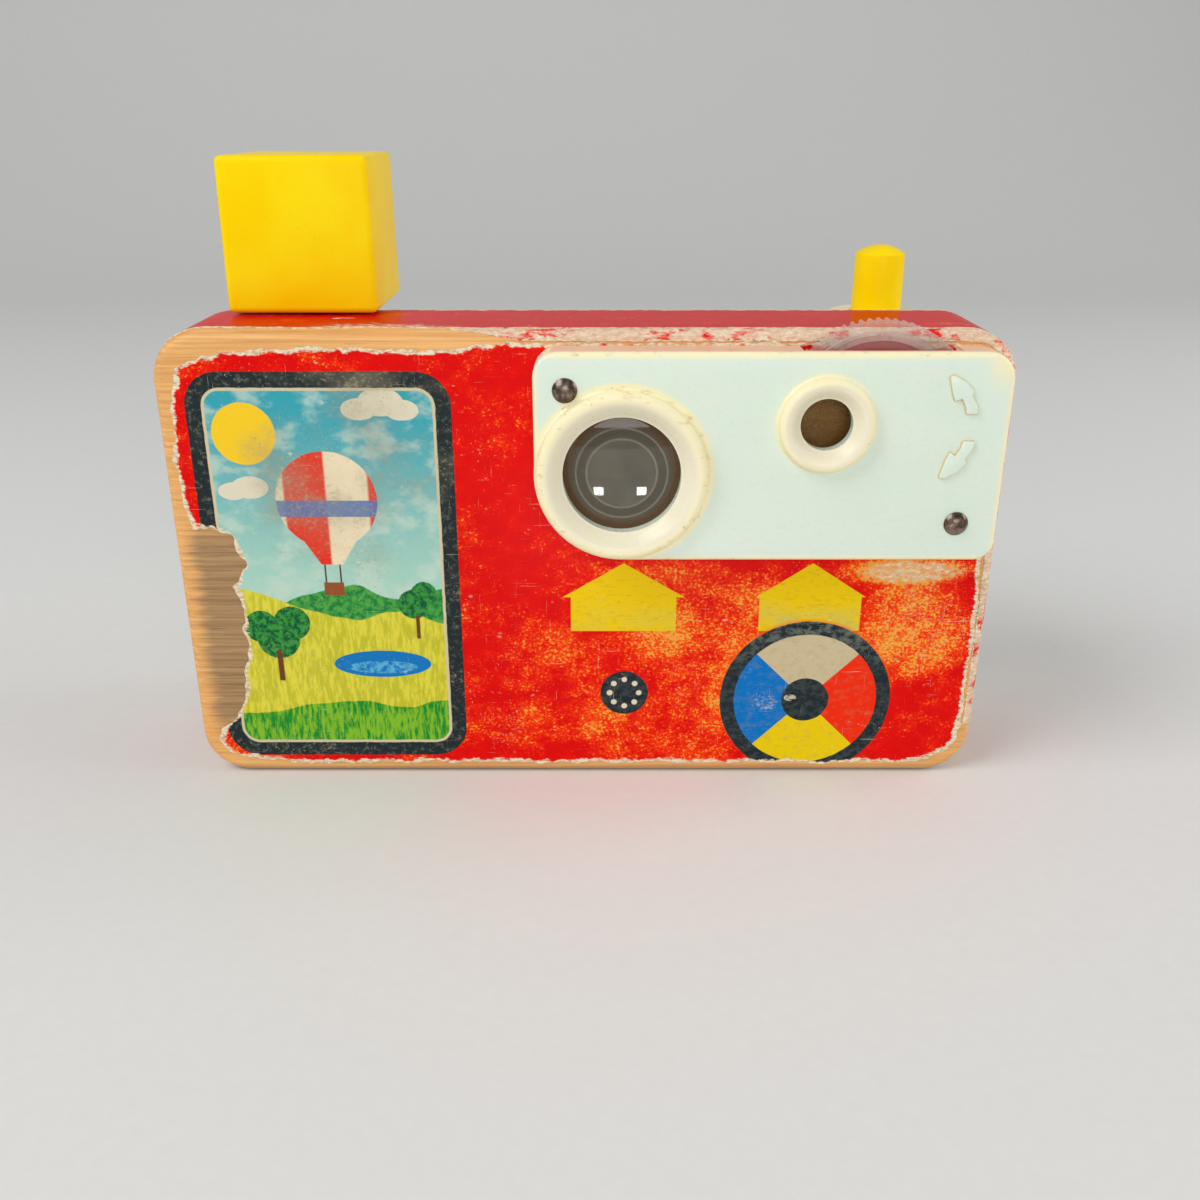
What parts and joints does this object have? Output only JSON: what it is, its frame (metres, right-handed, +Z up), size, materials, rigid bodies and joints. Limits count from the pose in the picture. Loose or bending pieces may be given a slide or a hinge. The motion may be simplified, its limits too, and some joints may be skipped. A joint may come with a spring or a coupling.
{
  "type": "toy camera",
  "caption": "Wooden toy viewing camera with a knurled colour wheel, a turning flash cube and a shutter plunger that indexes a wheel of pictures behind a lens",
  "frame": {"origin": "centre of the part's box, on the surface that the block stands on", "axes": "+X to the right as seen from the front, +Y from the front to the back, +Z up"},
  "size_m": [0.1714, 0.0648, 0.1298],
  "materials": {
    "hardwood": "bare hardwood, sanded, dark with handling at the worn edges",
    "printed_paper": "red printed paper, varnished, rubbed to orange and torn at the edges",
    "white_plastic": "aged white moulded plastic, a little yellow at the edges",
    "nail_metal": "oxidised steel, dull",
    "clear_plastic": "clear moulded plastic",
    "brown_card": "dark brown card tube",
    "yellow_gel": "yellow filter film",
    "red_gel": "red filter film",
    "clear_gel": "clear film",
    "blue_gel": "blue filter film",
    "steel": "plain steel",
    "yellow_plastic": "glossy yellow moulded plastic",
    "ivory_plastic": "ivory moulded plastic",
    "gear_plastic": "natural white moulded plastic",
    "spring_brass": "spring brass strip",
    "film": "printed picture film"
  },
  "bodies": {
    "camera": {"wood_body": "hardwood", "front_litho": "printed_paper", "back_litho": "printed_paper", "edge_litho": "printed_paper", "front_plate": "white_plastic", "plate_nails": "nail_metal", "picture_lens": "clear_plastic", "light_tube": "brown_card", "wheel_pin": "steel", "spindle_bush": "ivory_plastic", "cube_detent": "spring_brass", "spindle_bracket": "steel", "disc_axle": "steel", "axle_clip": "steel", "disc_detent": "spring_brass", "button_collar": "ivory_plastic", "return_spring": "steel", "rear_cover": "ivory_plastic", "cover_nails": "nail_metal", "eyepiece_lens": "clear_plastic"},
    "button": {"shutter_button": "yellow_plastic", "plunger_pin": "steel"},
    "bar": {"slide_bar": "gear_plastic"},
    "disc_drive": {"disc_pinion": "gear_plastic", "disc_pawl": "spring_brass"},
    "picture_disc": {"picture_wheel": "gear_plastic", "picture_film": "film"},
    "cube_drive": {"cube_pinion": "gear_plastic", "cube_pawl": "spring_brass"},
    "cube": {"flash_cube": "yellow_plastic", "cube_base": "yellow_plastic", "cube_spindle": "steel", "cube_star": "gear_plastic"},
    "wheel": {"color_wheel": "clear_plastic", "gel_yellow": "yellow_gel", "gel_red": "red_gel", "gel_clear": "clear_gel", "gel_blue": "blue_gel"}
  },
  "joints": [
    {"name": "shutter_press", "type": "slide", "parent": "camera", "child": "button", "axis": [0, 0, -1], "range_m": [0, 0.00942], "stiffness_N_per_m": 200, "springref_m": -0.004, "deforming": ["return_spring"]},
    {"name": "bar_slide", "type": "slide", "parent": "camera", "child": "bar", "axis": [1, 0, 0], "range_m": [0, 0.00943]},
    {"name": "disc_drive_turn", "type": "hinge", "parent": "camera", "child": "disc_drive", "pos_m": [0.0074, 0.015, 0.0475], "axis": [0, 1, 0], "range_deg": [0, 45.01], "deforming": ["disc_detent"]},
    {"name": "picture_click", "type": "hinge", "parent": "disc_drive", "child": "picture_disc", "pos_m": [0.0074, 0.012, 0.0475], "axis": [0, 1, 0], "continuous": true, "deforming": ["disc_pawl"]},
    {"name": "cube_drive_turn", "type": "hinge", "parent": "camera", "child": "cube_drive", "pos_m": [-0.0587, 0.01142, 0.062], "axis": [0, 0, -1], "range_deg": [0, 90], "deforming": ["cube_detent"]},
    {"name": "cube_click", "type": "hinge", "parent": "cube_drive", "child": "cube", "pos_m": [-0.0587, 0.01142, 0.115], "axis": [0, 0, -1], "continuous": true, "deforming": ["cube_pawl"]},
    {"name": "color_wheel_turn", "type": "hinge", "parent": "camera", "child": "wheel", "pos_m": [0.0573, -0.0248, 0.0817], "axis": [0, 1, 0], "continuous": true}
  ],
  "couplings": [
    {"joint": "bar_slide", "follows": "shutter_press", "ratio": 1},
    {"joint": "disc_drive_turn", "follows": "shutter_press", "rad_per_m": 83.333},
    {"joint": "cube_drive_turn", "follows": "shutter_press", "rad_per_m": 166.67}
  ]
}
